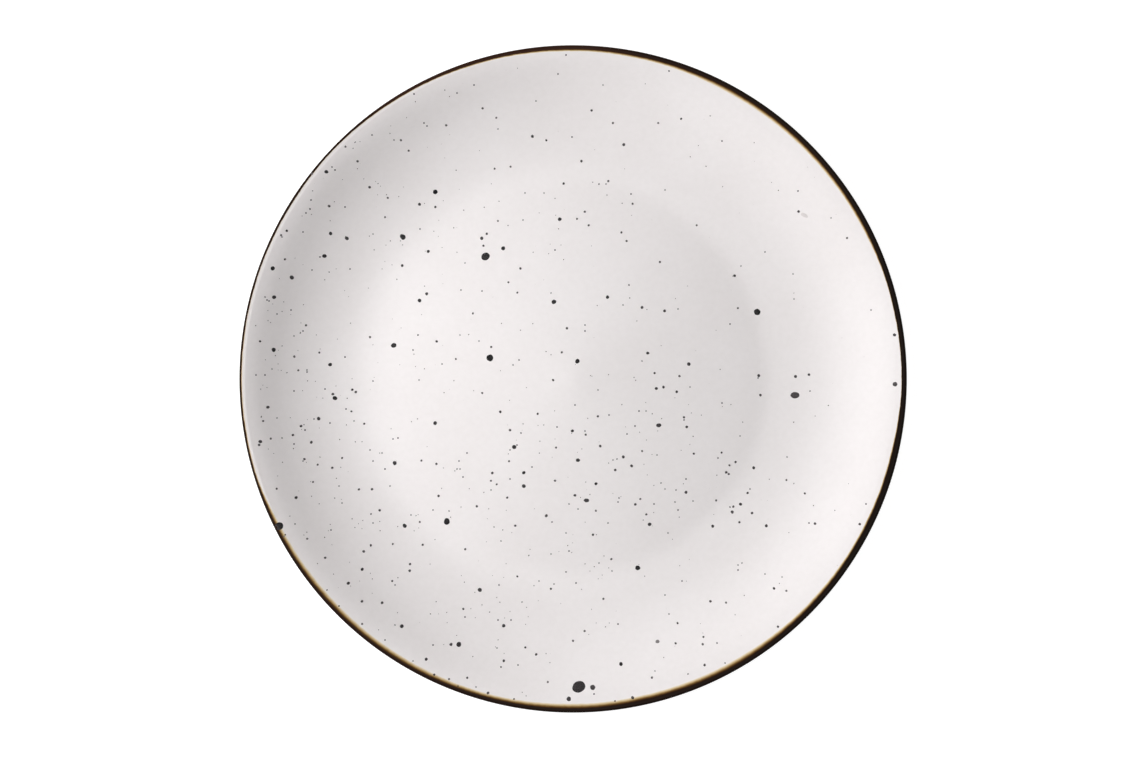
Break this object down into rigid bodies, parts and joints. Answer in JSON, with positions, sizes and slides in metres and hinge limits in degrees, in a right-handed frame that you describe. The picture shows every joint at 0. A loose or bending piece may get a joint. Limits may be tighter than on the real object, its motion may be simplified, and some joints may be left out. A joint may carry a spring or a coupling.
{
  "type": "dessert plate",
  "caption": "Round stoneware dessert plate with a slightly crowned floor, a curved rising wall that flares a little at the lip, speckled white glaze and a dark iron-brown band over its lip.",
  "frame": {"origin": "on the plate's axis, at the level of the foot ring that it stands on", "axes": "+Z up along the plate's axis; +X to the right and +Y up in the picture's straight-down view"},
  "size_m": [0.2, 0.2, 0.0239],
  "materials": {
    "bare_clay": "bare fired stoneware, matt",
    "white_glaze": "glossy white glaze with dark iron specks",
    "iron_glaze": "satin dark iron-brown glaze, amber where it thins"
  },
  "bodies": {
    "root": {"clay_body": "bare_clay", "face_glaze": "white_glaze", "rim_band": "iron_glaze", "back_glaze": "white_glaze", "base_glaze": "white_glaze"}
  },
  "joints": []
}
